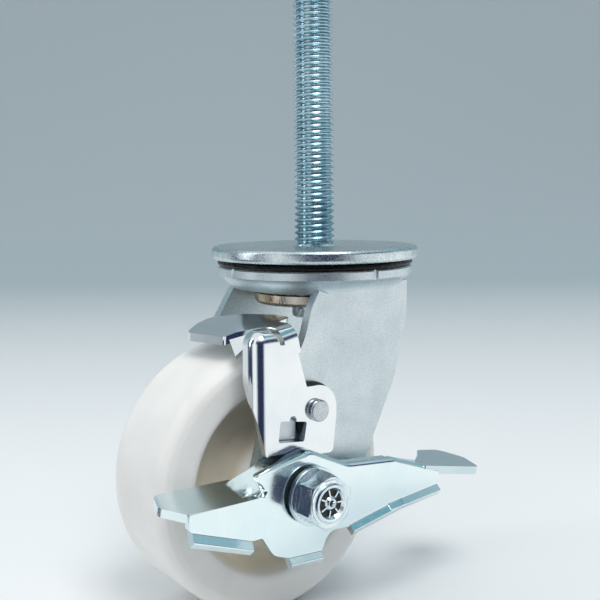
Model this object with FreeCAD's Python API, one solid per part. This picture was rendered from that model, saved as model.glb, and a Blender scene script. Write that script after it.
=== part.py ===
import FreeCAD, Part
import math
import os

# Threaded stem swivel caster with a side brake. Millimetres, +Z up. The origin is on the stem's
# axis at the top face of the plate. The wheel trails towards -X, its axle lies along Y, and the
# brake is on the -Y side.

# Stem and its headed kingpin, turned as one piece.
STEM_D = 12.7
STEM_LENGTH = 78.0
STEM_CHAMFER = 1.2
STEM_SEAT_D = 13.4
KINGPIN_D = 12.0
KINGPIN_HEAD_D = 14.6
KINGPIN_HEAD_HEIGHT = 4.8
KINGPIN_HEAD_CHAMFER = 0.9

# Top plate.
PLATE_D = 65.0
PLATE_THICKNESS = 4.0
PLATE_EDGE_RADIUS = 1.3

# Double ball race.
UPPER_BALL_D = 6.0
UPPER_BALL_COUNT = 22
RACE_EDGE = 6.5
PLATE_GROOVE_DEPTH = 0.6
LOWER_BALL_D = 4.0
LOWER_BALL_COUNT = 18
LOWER_RACE_D = 26.4
CUP_GROOVE_DEPTH = 1.1
RACE_GAP = 0.1
CUP_SIDE_GAP = 0.5
CUP_HEIGHT = 3.3
CUP_FLOOR = 2.0
CUP_WALL = 1.6
CUP_GAP = 0.6
CUP_RADIUS = 0.9

# Fork, pressed from one sheet.
SHEET = 3.2
CROWN_INSET = 2.0
CROWN_GAP = 2.0
CROWN_NOTCHES = 4
CROWN_NOTCH_R = 1.1
CROWN_BORE_GAP = 2.5
WEB_DROP = 4.6
LEG_BEND_R = 5.0
PAD_HEIGHT = 0.7

# Wheel, axle and trail.
WHEEL_D = 76.0
WHEEL_WIDTH = 32.0
TRAIL = 25.0
WHEEL_HEADROOM = 28.2
SHOULDER_WIDTH = 5.0
SHOULDER_DROP = 4.0
RIM_WALL = 10.5
RIM_TAPER = 3.0
RECESS_DEPTH = 9.0
RECESS_RADIUS = 2.5
HUB_WALL = 6.5
HUB_PROUD = 2.0
HUB_RADIUS = 1.2
HUB_SIDE_GAP = 1.5
SLEEVE_WALL = 2.0
WHEEL_BORE_GAP = 0.05
AXLE_D = 8.0
HEX_ACROSS = 13.0
HEX_TURN = 9.5
HEAD_HEIGHT = 5.3
NUT_HEIGHT = 6.8
NUT_COLLAR_HEIGHT = 0.3
AXLE_PAST_NUT = 0.8
AXLE_CHAMFER = 0.8
WASHER_D = 16.0
WASHER_THICKNESS = 1.6

# Brake arm with its shoe, one folded sheet, riveted to the near leg.
ARM_SHEET = 2.4
ARM_STANDOFF = 1.5
ARM_SPACER_D = 15.2
ARM_SPACER_FLAT = 4.6
ARM_EAR_R = 6.9
RIVET_AHEAD = 6.1
RIVET_RISE = 21.4
RIVET_D = 5.0
RIVET_HEAD_D = 6.2
RIVET_HEAD_HEIGHT = 1.9
ARM_REACH = 20.5
ARM_FLANGE_DEPTH = 6.4
ARM_HEEL_DROP = 12.6
ARM_BEND_R = 4.0
SHOE_TILT = 12.4
SHOE_GAP = 4.8
SHOE_BEND_R = 4.4
SHOE_EDGE_GAP = 4.0

# Brake lever, one pressed sheet that turns on a bush on the axle.
LEVER_SHEET = 2.4
LEVER_STANDOFF = 2.4
LEVER_RIM_GAP = 0.3
LEVER_SLOPE_GAP = 0.5
LEVER_JOURNAL_D = 12.8
LEVER_JOURNAL_STEP = 1.0
LEVER_BORE_GAP = 0.05
LEVER_BACK_GAP = 0.3
LEVER_FRONT_GAP = 1.2
LEVER_LIP = 2.2
PEDAL_LIP = 2.8
PEDAL_TILT = 14.5
PEDAL_WIDTH = 11.6
RELEASE_TILT = 11.2
RELEASE_ROLL = 5.0
RELEASE_WHEEL_GAP = 2.4

# What follows from the driving sizes.
OVER = 1.0
AXLE_X = -TRAIL
AXLE_Z = -(WHEEL_D / 2 + WHEEL_HEADROOM)
PLATE_UNDER = -PLATE_THICKNESS
CROWN_TOP = PLATE_UNDER - CROWN_GAP
CROWN_UNDER = CROWN_TOP - SHEET
CROWN_R = PLATE_D / 2 - CROWN_INSET
UPPER_RACE_D = 2 * (CROWN_R - RACE_EDGE)
WEB_TOP = CROWN_TOP - WEB_DROP
WEB_UNDER = WEB_TOP - SHEET
CUP_TOP = WEB_UNDER - CUP_GAP
CUP_UNDER = CUP_TOP - CUP_HEIGHT
UPPER_BALL_Z = PLATE_UNDER + PLATE_GROOVE_DEPTH - RACE_GAP - UPPER_BALL_D / 2
LOWER_BALL_Z = CUP_UNDER + CUP_FLOOR - CUP_GROOVE_DEPTH + RACE_GAP + LOWER_BALL_D / 2
WHEEL_R = WHEEL_D / 2
HUB_HALF = WHEEL_WIDTH / 2 + HUB_PROUD
LEG_IN = HUB_HALF + HUB_SIDE_GAP
LEG_OUT = LEG_IN + SHEET
CUP_D = 2 * (LEG_IN - CUP_SIDE_GAP)
ARM_BACK = LEG_OUT + ARM_STANDOFF
ARM_FRONT = ARM_BACK + ARM_SHEET
LEVER_RIM_BACK = ARM_FRONT + LEVER_RIM_GAP
LEVER_SLOPE_BACK = LEG_OUT + LEVER_SLOPE_GAP
LEVER_BACK = ARM_FRONT + LEVER_STANDOFF
LEVER_FRONT = LEVER_BACK + LEVER_SHEET
WASHER_SEAT = LEVER_FRONT + LEVER_FRONT_GAP
NUT_SEAT = WASHER_SEAT + WASHER_THICKNESS
NUT_FACE = NUT_SEAT + NUT_HEIGHT
SLEEVE_R = AXLE_D / 2 + SLEEVE_WALL
RIVET_X = AXLE_X + RIVET_AHEAD
RIVET_Z = AXLE_Z + RIVET_RISE
ARM_LEFT = RIVET_X - ARM_REACH
ARM_DEPTH_END = -ARM_FRONT + ARM_FLANGE_DEPTH
SHOE_TOP = AXLE_Z + WHEEL_R + SHOE_GAP + ARM_SHEET
SHOE_SLOPE = math.tan(math.radians(SHOE_TILT))
NECK_LEFT = AXLE_X - 5.5
NECK_RIGHT = AXLE_X - 0.8
RELEASE_START = WHEEL_R + RELEASE_WHEEL_GAP
LIP_KNEE = RELEASE_START - 12.4


def vec(x, y, z):
    return FreeCAD.Vector(x, y, z)


def revolved(section, centre, axis):
    """Turn a closed list of points all the way round an axis."""
    wire = Part.makePolygon(section + [section[0]])
    return Part.Face(wire).revolve(centre, axis, 360)


def turned_z(profile):
    """Turn (radius, z) points round the stem's axis."""
    return revolved([vec(r, 0, z) for r, z in profile], vec(0, 0, 0), vec(0, 0, 1))


def turned_axle(profile):
    """Turn (radius, y) points round the wheel's axle."""
    centre = vec(AXLE_X, 0, AXLE_Z)
    return revolved([vec(AXLE_X, y, AXLE_Z + r) for r, y in profile], centre, vec(0, 1, 0))


def ring(radius, inner, start, end, x=AXLE_X, z=AXLE_Z):
    """A washer or tube along Y from y = start to y = end, with an optional bore."""
    solid = Part.makeCylinder(radius, end - start, vec(x, start, z), vec(0, 1, 0))
    if inner:
        hole = Part.makeCylinder(inner, end - start + 2 * OVER, vec(x, start - OVER, z), vec(0, 1, 0))
        solid = solid.cut(hole)
    return solid


def rounded_wire(corners, place):
    """A closed outline of straight runs, each corner (u, v, radius) rounded by its radius."""
    count = len(corners)
    edges = []
    starts = []
    ends = []
    middles = []
    for index in range(count):
        u, v, radius = corners[index]
        here = vec(u, v, 0)
        before = vec(*corners[index - 1][:2], 0) - here
        after = vec(*corners[(index + 1) % count][:2], 0) - here
        before.normalize()
        after.normalize()
        half = before.getAngle(after) / 2
        cut = radius / math.tan(half)
        starts.append(here + before * cut)
        ends.append(here + after * cut)
        bisector = before + after
        if radius and bisector.Length > 1e-6:
            bisector.normalize()
            middles.append(here + bisector * (radius / math.sin(half) - radius))
        else:
            middles.append(None)
    for index in range(count):
        if middles[index]:
            arc = Part.Arc(place(starts[index]), place(middles[index]), place(ends[index]))
            edges.append(arc.toShape())
        following = starts[(index + 1) % count]
        if (following - ends[index]).Length > 1e-6:
            edges.append(Part.LineSegment(place(ends[index]), place(following)).toShape())
    return Part.Wire(edges)


def plate_xz(corners, near, far):
    """A sheet standing in the XZ plane, from y = near to y = far."""
    wire = rounded_wire(corners, lambda p: vec(p.x, near, p.y))
    return Part.Face(wire).extrude(vec(0, far - near, 0))


def plate_xy(corners, low, high):
    """A solid of a plan outline, from z = low to z = high."""
    wire = rounded_wire(corners, lambda p: vec(p.x, p.y, low))
    return Part.Face(wire).extrude(vec(0, 0, high - low))


def plate_yz(corners, left, right):
    """A solid of an outline in the YZ plane, from x = left to x = right."""
    wire = rounded_wire(corners, lambda p: vec(left, p.x, p.y))
    return Part.Face(wire).extrude(vec(right - left, 0, 0))


def about(x, z, corners):
    """Corners given from a centre, as places in the XZ plane."""
    return [(x + u, z + v, radius) for u, v, radius in corners]


def hex_prism(start, end):
    """A hexagon along the axle, across flats as the nut and the bolt head have it."""
    corner = HEX_ACROSS / math.sqrt(3)
    points = []
    for side in range(6):
        angle = math.radians(60 * side + HEX_TURN)
        points.append(vec(AXLE_X + corner * math.sin(angle), start, AXLE_Z + corner * math.cos(angle)))
    face = Part.Face(Part.makePolygon(points + [points[0]]))
    return face.extrude(vec(0, end - start, 0))


def chamfered_hex(start, end):
    """A hexagon with both faces turned to a blunt cone."""
    corner = HEX_ACROSS / math.sqrt(3)
    flat = HEX_ACROSS / 2
    drop = (corner - flat) * math.tan(math.radians(30))
    profile = [(0, start), (flat, start), (corner, start + drop), (corner, end - drop), (flat, end), (0, end)]
    return hex_prism(start, end).common(turned_axle(profile))


def threaded_stem():
    """The headed stud: its head and kingpin hold the races, and its shank is the stem."""
    stem_r = STEM_D / 2
    pin_r = KINGPIN_D / 2
    head_r = KINGPIN_HEAD_D / 2
    seat_r = STEM_SEAT_D / 2
    head_end = CUP_UNDER - KINGPIN_HEAD_HEIGHT
    profile = [
        (0, head_end), (head_r - KINGPIN_HEAD_CHAMFER, head_end),
        (head_r, head_end + KINGPIN_HEAD_CHAMFER), (head_r, CUP_UNDER), (pin_r, CUP_UNDER),
        (pin_r, PLATE_UNDER), (seat_r, PLATE_UNDER), (seat_r, 0), (stem_r, 0),
        (stem_r, STEM_LENGTH - STEM_CHAMFER), (stem_r - STEM_CHAMFER, STEM_LENGTH), (0, STEM_LENGTH),
    ]
    return turned_z(profile)


def race_groove(ball_d, race_d, height):
    """The torus that a ring of balls and its small clearance take up."""
    return Part.makeTorus(race_d / 2, ball_d / 2 + RACE_GAP, vec(0, 0, height))


def top_plate():
    """The round plate, its edge rounded, with the upper race pressed into its underside."""
    plate = Part.makeCylinder(PLATE_D / 2, PLATE_THICKNESS, vec(0, 0, PLATE_UNDER))
    rims = [edge for edge in plate.Edges if edge.Curve.TypeId == "Part::GeomCircle"]
    plate = plate.makeFillet(PLATE_EDGE_RADIUS, rims)
    bore = Part.makeCylinder(STEM_SEAT_D / 2, PLATE_THICKNESS + 2 * OVER, vec(0, 0, PLATE_UNDER - OVER))
    return plate.cut(bore).cut(race_groove(UPPER_BALL_D, UPPER_RACE_D, UPPER_BALL_Z))


def ball_ring(ball_d, race_d, height, count):
    """Evenly spaced steel balls on their race."""
    balls = []
    for index in range(count):
        angle = 2 * math.pi * index / count
        place = vec(race_d / 2 * math.cos(angle), race_d / 2 * math.sin(angle), height)
        balls.append(Part.makeSphere(ball_d / 2, place))
    return Part.makeCompound(balls)


def lower_race_cup():
    """The cup under the crown that the lower balls run in."""
    outer = CUP_D / 2
    inner = outer - CUP_WALL
    pin_r = KINGPIN_D / 2
    floor = CUP_UNDER + CUP_FLOOR
    profile = [
        (pin_r, CUP_UNDER), (outer - CUP_RADIUS, CUP_UNDER), (outer, CUP_UNDER + CUP_RADIUS),
        (outer, CUP_TOP), (inner, CUP_TOP), (inner, floor), (pin_r, floor),
    ]
    return turned_z(profile).cut(race_groove(LOWER_BALL_D, LOWER_RACE_D, LOWER_BALL_Z))


def fork_crown():
    """The round crown: a rim, a pressed trough for the upper balls and a flat web inside it."""
    race_r = UPPER_RACE_D / 2
    trough_in = UPPER_BALL_D / 2 + RACE_GAP
    trough_out = trough_in + SHEET
    trough_under = UPPER_BALL_Z - trough_out
    bore_r = KINGPIN_D / 2 + CROWN_BORE_GAP
    web_r = race_r - trough_in
    edge = SHEET / 6
    profile = [
        (bore_r, WEB_UNDER), (race_r - trough_out * 0.55, WEB_UNDER), (race_r - SHEET / 2, trough_under),
        (race_r + SHEET / 2, trough_under), (race_r + trough_out * 0.6, trough_under + SHEET / 2),
        (CROWN_R - 2 * edge, CROWN_UNDER), (CROWN_R, CROWN_UNDER + edge), (CROWN_R, CROWN_TOP - edge),
        (CROWN_R - edge, CROWN_TOP), (web_r, CROWN_TOP), (web_r - SHEET / 2, WEB_TOP), (bore_r, WEB_TOP),
    ]
    crown = turned_z(profile)
    for index in range(CROWN_NOTCHES):
        angle = 2 * math.pi * index / CROWN_NOTCHES
        reach = CROWN_R + CROWN_NOTCH_R / 2
        place = vec(reach * math.cos(angle), reach * math.sin(angle), CROWN_UNDER - OVER)
        crown = crown.cut(Part.makeCylinder(CROWN_NOTCH_R, SHEET + 2 * OVER, place))
    return crown


def leg_outline(side):
    """The side view of a leg: wide under the crown, swept back to the axle, round at its end."""
    top = [(18.2, WEB_TOP - 11.4, 12), (18.8, WEB_TOP, 0)]
    if side > 0:
        front = [(-15.6, WEB_TOP, 0), (-18.8, WEB_TOP - 4.0, 8), (-25.2, WEB_TOP - 14.6, 20)]
    else:
        front = [(-14.2, WEB_TOP, 0), (-17.6, WEB_TOP - 6.0, 10), (-20.1, WEB_TOP - 14.6, 20)]
    return top + front + about(AXLE_X, AXLE_Z, [
        (-9.6, 16.7, 14), (-12.2, 6.2, 10), (-13.6, -14.0, 13.6), (12.5, -14.0, 11),
        (26.6, 3.7, 8), (38.0, 25.7, 40),
    ])


def leg_relief(side):
    """What is cleared under the rim beside a leg, up to the bend between the leg and the crown."""
    low = WEB_UNDER - SHEET
    section = [
        (LEG_OUT, low, 0), (LEG_OUT, CROWN_UNDER, LEG_BEND_R), (CROWN_R + OVER, CROWN_UNDER, 0),
        (CROWN_R + OVER, low, 0),
    ]
    return plate_yz([(side * y, z, radius) for y, z, radius in section], -15.0, 18.8)


def fork_leg(side):
    """One leg on the side given by its sign."""
    near, far = sorted((side * LEG_IN, side * LEG_OUT))
    return plate_xz(leg_outline(side), near, far)


def stop_pad():
    """The raised pad on the near leg, behind the brake arm's window."""
    corners = about(AXLE_X, AXLE_Z, [(-6.4, 21.2, 0.5), (1.0, 21.2, 0.5), (0.6, 12.3, 2.4), (-6.4, 13.0, 0.5)])
    return plate_xz(corners, -LEG_OUT - PAD_HEIGHT, -LEG_OUT + OVER)


def fork():
    """The whole pressing: crown, two legs, the races' grooves and the holes."""
    body = fork_crown()
    for side in (1, -1):
        body = body.cut(leg_relief(side))
    body = body.fuse([fork_leg(1), fork_leg(-1), stop_pad()])
    body = body.cut(race_groove(UPPER_BALL_D, UPPER_RACE_D, UPPER_BALL_Z))
    body = body.cut(race_groove(LOWER_BALL_D, LOWER_RACE_D, LOWER_BALL_Z))
    body = body.cut(ring(AXLE_D / 2, 0, -LEG_OUT - OVER, LEG_OUT + OVER))
    body = body.cut(ring(RIVET_D / 2, 0, -LEG_OUT - OVER, -LEG_IN + OVER, RIVET_X, RIVET_Z))
    return body.removeSplitter()


def wheel():
    """The moulded wheel: crowned tread, shoulders, deep flank recesses, a web and a hub."""
    half = WHEEL_WIDTH / 2
    shoulder = half - SHOULDER_WIDTH
    rim = WHEEL_R - RIM_WALL
    web = half - RECESS_DEPTH
    hub = SLEEVE_R + HUB_WALL
    bore = SLEEVE_R + WHEEL_BORE_GAP
    side = [
        (bore, HUB_HALF), (hub - HUB_RADIUS, HUB_HALF), (hub, HUB_HALF - HUB_RADIUS),
        (hub + 1.0, web + RECESS_RADIUS), (hub + 1.0 + RECESS_RADIUS, web),
        (rim - RIM_TAPER - RECESS_RADIUS, web), (rim - RIM_TAPER, web + RECESS_RADIUS),
        (rim - 0.6, half - 0.5), (rim + 0.3, half), (WHEEL_R - SHOULDER_DROP, half),
    ]
    steps = 5
    for step in range(1, steps + 1):
        angle = math.radians(90 * step / steps)
        radius = WHEEL_R - SHOULDER_DROP * (1 - math.sin(angle))
        side.append((radius, shoulder + SHOULDER_WIDTH * math.cos(angle)))
    other = [(r, -y) for r, y in reversed(side)]
    return turned_axle(side + other)


def axle_sleeve():
    """The steel tube that the hub turns on and that keeps the legs apart."""
    return ring(SLEEVE_R, AXLE_D / 2, -LEG_IN, LEG_IN)


def far_washer():
    return ring(WASHER_D / 2, AXLE_D / 2, LEG_OUT, LEG_OUT + WASHER_THICKNESS)


def axle_bolt():
    """The hex bolt through both legs, its head on the far washer."""
    end = -(NUT_FACE + AXLE_PAST_NUT)
    seat = LEG_OUT + WASHER_THICKNESS
    shank_r = AXLE_D / 2
    shank = turned_axle([
        (0, end), (shank_r - AXLE_CHAMFER, end), (shank_r, end + AXLE_CHAMFER),
        (shank_r, seat + OVER), (0, seat + OVER),
    ])
    return shank.fuse(chamfered_hex(seat, seat + HEAD_HEIGHT)).removeSplitter()


def lever_bush():
    """The stepped bush that the lever turns on, between the near leg and the washer."""
    journal_r = LEVER_JOURNAL_D / 2
    bush = ring(journal_r, AXLE_D / 2, -WASHER_SEAT, -LEG_OUT)
    step = ring(journal_r + LEVER_JOURNAL_STEP, AXLE_D / 2, -LEVER_BACK + LEVER_BACK_GAP, -LEG_OUT)
    return bush.fuse(step).removeSplitter()


def flat_washer():
    return ring(WASHER_D / 2, AXLE_D / 2, -NUT_SEAT, -WASHER_SEAT)


def axle_nut():
    """The hex nut with the thin round land that its outer face is turned to."""
    nut = chamfered_hex(-NUT_FACE, -NUT_SEAT)
    land = ring(HEX_ACROSS / 2 - 0.3, 0, -NUT_FACE - NUT_COLLAR_HEIGHT, -NUT_FACE + OVER)
    bore = ring(AXLE_D / 2, 0, -NUT_FACE - OVER, -NUT_SEAT + OVER)
    return nut.fuse(land).cut(bore).removeSplitter()


def corner_shell(left, front, top, depth_end, right, bottom, radius):
    """A solid block with its left, front and top edges rolled by one radius, as a drawn corner."""
    block = Part.makeBox(right - left, depth_end - front, top - bottom, vec(left, front, bottom))
    if radius < 0.05:
        return block
    corner = vec(left, front, top)
    chosen = []
    for edge in block.Edges:
        ends = [vertex.Point for vertex in edge.Vertexes]
        if any((point - corner).Length < 0.01 for point in ends):
            chosen.append(edge)
    return block.makeFillet(radius, chosen)


def arm_plate():
    """The arm's upright plate: drawn corner, ear round the rivet, window and heel."""
    top = SHOE_TOP - 0.3
    heel = RIVET_Z - ARM_HEEL_DROP
    outer = corner_shell(ARM_LEFT, -ARM_FRONT, top, 0.0, AXLE_X + 30.0, heel - 2 * OVER, ARM_BEND_R)
    inner = corner_shell(
        ARM_LEFT + ARM_SHEET, -ARM_BACK, top - ARM_SHEET, OVER, AXLE_X + 31.0, heel - 3 * OVER,
        ARM_BEND_R - ARM_SHEET,
    )
    plate = outer.cut(inner)
    above = top - RIVET_Z + OVER
    below = -ARM_HEEL_DROP
    outline = about(RIVET_X, RIVET_Z, [
        (-ARM_REACH, above, 0), (-ARM_REACH, 4.2, 6), (-17.0, below + 1.3, 0.8), (-15.6, below + 2.2, 1),
        (-4.7, below + 1.8, 2), (-1.7, below + 0.2, 1.5), (5.5, below - 0.2, 1.5), (ARM_EAR_R, -2.0, 6),
        (ARM_EAR_R, ARM_EAR_R, 6.5), (-3.4, ARM_EAR_R, 0), (-7.0, above - 5.1, 0), (-12.1, above - 5.1, 0),
        (-12.7, above - 3.9, 0.4), (-14.5, above, 0),
    ])
    plate = plate.common(plate_xz(outline, -ARM_FRONT - OVER, OVER))
    depth = plate_yz(
        [(-ARM_FRONT - OVER, heel - OVER, 0), (-ARM_BACK, heel - OVER, 0), (-ARM_BACK, RIVET_Z + 1.3, 4),
         (ARM_DEPTH_END, RIVET_Z + 8.8, 5), (ARM_DEPTH_END, top + OVER, 0),
         (-ARM_FRONT - OVER, top + OVER, 0)],
        ARM_LEFT - OVER, RIVET_X + ARM_EAR_R + OVER,
    )
    plate = plate.common(depth)
    window = about(RIVET_X, RIVET_Z, [(-12.4, -1.5, 0.6), (-3.5, -2.8, 0.6), (-4.5, -8.2, 0.6), (-13.1, -7.4, 0.6)])
    plate = plate.cut(plate_xz(window, -ARM_FRONT - OVER, -ARM_BACK + OVER))
    nick = ring(1.2, 0, -ARM_FRONT - OVER, -ARM_BACK + OVER, RIVET_X - 8.2, RIVET_Z - 1.8)
    plate = plate.cut(nick)
    return plate.cut(ring(RIVET_D / 2, 0, -ARM_FRONT - OVER, -ARM_BACK + OVER, RIVET_X, RIVET_Z))


def shoe_height(x):
    """The height of the shoe's top face, which falls towards the trailing side."""
    return SHOE_TOP + SHOE_SLOPE * (x - (AXLE_X - 5.0))


def arm_neck():
    """The strip that rises from the plate and bends back over the leg's plane to the shoe."""
    bottom = -ARM_BEND_R - 4 * OVER
    inside = -LEG_IN + 2 * ARM_SHEET
    section = [
        (-ARM_FRONT, 0.0, SHOE_BEND_R), (inside, 0.0, 0), (inside, -ARM_SHEET, 0),
        (-ARM_BACK, -ARM_SHEET, SHOE_BEND_R - ARM_SHEET), (-ARM_BACK, bottom, 0), (-ARM_FRONT, bottom, 0),
    ]
    neck = plate_yz(section, NECK_LEFT, NECK_RIGHT)
    pivot = vec(AXLE_X - 5.0, 0, 0)
    neck.rotate(pivot, vec(0, 1, 0), -SHOE_TILT)
    neck.translate(vec(0, 0, SHOE_TOP))
    return neck


def arm_shoe():
    """The shoe over the tread: a tilted pad with a down-turned nose and a gusset to the corner."""
    near = -(WHEEL_WIDTH / 2 + 2.2)
    far = WHEEL_WIDTH / 2 - SHOE_EDGE_GAP
    tail = AXLE_X + 3.0
    nose = AXLE_X - 12.4
    tip = AXLE_X - 18.0
    side = [
        (tail, shoe_height(tail), 0), (nose, shoe_height(nose), 3),
        (tip, shoe_height(tip) - 1.2, 0.6), (tip, shoe_height(tip) - 1.2 - ARM_SHEET, 0.6),
        (nose, shoe_height(nose) - ARM_SHEET, 3), (tail, shoe_height(tail) - ARM_SHEET, 0),
    ]
    pad = plate_xz(side, near, far)
    plan = [
        (NECK_LEFT, near, 0.6), (tip + 2.6, near + 6.4, 1.5), (tip + 0.8, far - 4.4, 3),
        (tip + 11.3, far - 0.8, 3), (AXLE_X - 0.2, far - 10.6, 4), (tail, near + 8.0, 4), (tail, near, 1.5),
    ]
    pad = pad.common(plate_xy(plan, SHOE_TOP - 12.0, SHOE_TOP + 6.0))
    corner = vec(AXLE_X - 14.0, near + 6.6, shoe_height(AXLE_X - 16.4) - 0.4)
    low = vec(AXLE_X - 15.0, near + 0.9, shoe_height(AXLE_X - 16.4) - 5.2)
    inner = vec(NECK_LEFT - 0.2, near + 0.4, shoe_height(NECK_LEFT) - 0.6)
    face = Part.Face(Part.makePolygon([corner, low, inner, corner]))
    normal = (low - corner).cross(inner - corner)
    normal.normalize()
    if normal.z > 0:
        normal = -normal
    gusset = face.extrude(normal * (ARM_SHEET * 0.7))
    return pad.fuse(gusset)


def brake_arm():
    """The folded arm, neck and shoe as one sheet."""
    return arm_plate().fuse([arm_neck(), arm_shoe()]).removeSplitter()


def arm_spacer():
    """The spacer between leg and arm, with a flat side that clears the stop pad."""
    radius = ARM_SPACER_D / 2
    spacer = ring(radius, RIVET_D / 2, -ARM_BACK, -LEG_OUT, RIVET_X, RIVET_Z)
    place = vec(RIVET_X - radius - OVER, -ARM_BACK - OVER, RIVET_Z - radius - OVER)
    width = radius + OVER - ARM_SPACER_FLAT
    return spacer.cut(Part.makeBox(width, ARM_STANDOFF + 2 * OVER, 2 * (radius + OVER), place))


def arm_rivet():
    """The rivet that the arm turns on, upset flush inside the leg."""
    shank = ring(RIVET_D / 2, 0, -ARM_FRONT, -LEG_IN, RIVET_X, RIVET_Z)
    front = -ARM_FRONT - RIVET_HEAD_HEIGHT
    head = ring(RIVET_HEAD_D / 2, 0, front, -ARM_FRONT, RIVET_X, RIVET_Z)
    rim = [edge for edge in head.Edges if abs(edge.CenterOfMass.y - front) < 0.01]
    return shank.fuse(head.makeChamfer(RIVET_HEAD_HEIGHT / 6, rim)).removeSplitter()


def lever_outline():
    """The front view of the lever's plate, from its cam rim round both ends."""
    return about(AXLE_X, AXLE_Z, [
        (-17.6, 7.7, 0.8), (0.4, 12.0, 5), (13.5, 6.0, 8), (RELEASE_START - 9.6, 4.6, 3),
        (RELEASE_START + 7.8, -3.2, 0.8), (RELEASE_START + 7.2, -6.2, 0.8),
        (RELEASE_START - 11.4, -8.0, 30), (13.4, -11.8, 1.0),
        (6.4, -11.4, 4), (4.0, -16.4, 0.6), (-7.4, -15.9, 1.0), (-12.0, -14.4, 5),
        (-15.6, -8.8, 1.0), (-18.4, -8.9, 0.8), (-37.3, -2.6, 0.8), (-37.6, 1.6, 0.8),
        (-16.6, 2.0, 1.0), (-14.2, 3.6, 1.2),
    ])


def lever_rim():
    """The cam rim bent back from the plate's top edge, and the lug that lifts the arm's heel."""
    start = -LEVER_BACK - 0.1
    edge = about(AXLE_X, AXLE_Z, [
        (-12.8, 8.7, 0.4), (0.4, 12.0, 5), (13.5, 6.0, 8), (RELEASE_START - 10.0, 4.6, 1),
        (RELEASE_START - 10.2, 2.4, 0.6),
        (13.2, 3.7, 8), (0.6, 9.5, 4), (-12.4, 6.4, 0.4),
    ])
    slope = about(AXLE_X, AXLE_Z, [(-11.5, 8.9, 0), (-7.5, 9.9, 0.6), (-7.9, 7.7, 0.6), (-11.5, 6.8, 0)])
    lug = about(AXLE_X, AXLE_Z, [(14.6, 4.3, 1.0), (22.6, 4.0, 1.0), (22.6, 1.8, 0.6), (14.6, 2.1, 0.6)])
    rim = plate_xz(edge, start, -LEVER_RIM_BACK)
    return rim.fuse([plate_xz(slope, start, -LEVER_SLOPE_BACK), plate_xz(lug, start, -ARM_BACK)])


def lever_pedal():
    """The wide foot tab at the trailing end, bent back towards the wheel and a little up."""
    back = -LEVER_FRONT + PEDAL_WIDTH
    plan = [
        (AXLE_X - 16.8, -LEVER_FRONT, 0), (AXLE_X - 37.6, -LEVER_FRONT, 1),
        (AXLE_X - 43.4, -LEVER_FRONT + PEDAL_WIDTH / 2, 2.5), (AXLE_X - 42.0, back, 2),
        (AXLE_X - 19.0, back, 1.5), (AXLE_X - 17.4, -LEVER_SLOPE_BACK, 1.5),
    ]
    tab = plate_xy(plan, -LEVER_SHEET, 0)
    tab.rotate(vec(0, -LEVER_FRONT, 0), vec(1, 0, 0), PEDAL_TILT)
    tab.translate(vec(0, 0, AXLE_Z + 1.8))
    return tab


def lever_web():
    """The twisted strip that carries the pedal's sheet up into the cam rim."""
    front = -LEVER_BACK - 0.1
    back = -LEVER_SLOPE_BACK
    rise = math.tan(math.radians(PEDAL_TILT))
    places = [
        (-22.0, back + 1.6, 1.7 + rise * (front + LEVER_FRONT), 1.7 + rise * (back + 1.6 + LEVER_FRONT)),
        (-15.4, back, 2.9, 7.2),
        (-11.0, back, 9.0, 9.0),
    ]
    wires = []
    for x, rear, low, high in places:
        points = [
            vec(AXLE_X + x, front, AXLE_Z + low), vec(AXLE_X + x, rear, AXLE_Z + high),
            vec(AXLE_X + x, rear, AXLE_Z + high - LEVER_SHEET), vec(AXLE_X + x, front, AXLE_Z + low - LEVER_SHEET),
        ]
        wires.append(Part.makePolygon(points + [points[0]]))
    return Part.makeLoft(wires, True, True)


def lever_release():
    """The narrow release tab at the leading end, bent back flat behind the plate."""
    inner = AXLE_X + RELEASE_START
    plan = [
        (inner + 2.2, -LEVER_FRONT, 0.5), (inner + 26.0, -LEVER_FRONT + 0.4, 2.5),
        (inner + 29.4, -LEVER_FRONT + 10.5, 4), (inner + 24.6, -LEVER_FRONT + 18.0, 4),
        (inner + 14.0, -LEVER_FRONT + 16.6, 5), (inner + 8.6, -LEVER_FRONT + 10.5, 5),
        (inner + 2.4, -LEVER_FRONT + 5.0, 2),
    ]
    tab = plate_xy(plan, -LEVER_SHEET, 0)
    tab.rotate(vec(inner + 6.6, 0, 0), vec(0, 1, 0), RELEASE_TILT)
    tab.rotate(vec(0, -LEVER_FRONT, 0), vec(1, 0, 0), RELEASE_ROLL)
    tab.translate(vec(0, 0, AXLE_Z - 0.5))
    return tab


def lever_lip(start, end, depth):
    """A stiffening lip along the lower edge from start to end, flared halfway to the front."""
    run = vec(end[0] - start[0], 0, end[1] - start[1])
    lean = math.radians(45)
    drop = depth * math.sin(lean)
    reach = depth * math.cos(lean)
    bend = LEVER_SHEET * math.tan(lean / 2)
    section = [
        (-LEVER_FRONT, OVER, 0), (-LEVER_FRONT, 0, 0.6), (-LEVER_FRONT - reach, -drop, 0.4),
        (-LEVER_FRONT - reach + LEVER_SHEET * math.sin(lean), -drop - LEVER_SHEET * math.cos(lean), 0.4),
        (-LEVER_BACK, -bend, 1.2), (-LEVER_BACK, OVER, 0),
    ]
    lip = plate_yz(section, 0, run.Length)
    lip.rotate(vec(0, 0, 0), vec(0, 1, 0), -math.degrees(math.atan2(run.z, run.x)))
    lip.translate(vec(AXLE_X + start[0], 0, AXLE_Z + start[1]))
    return lip


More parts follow.
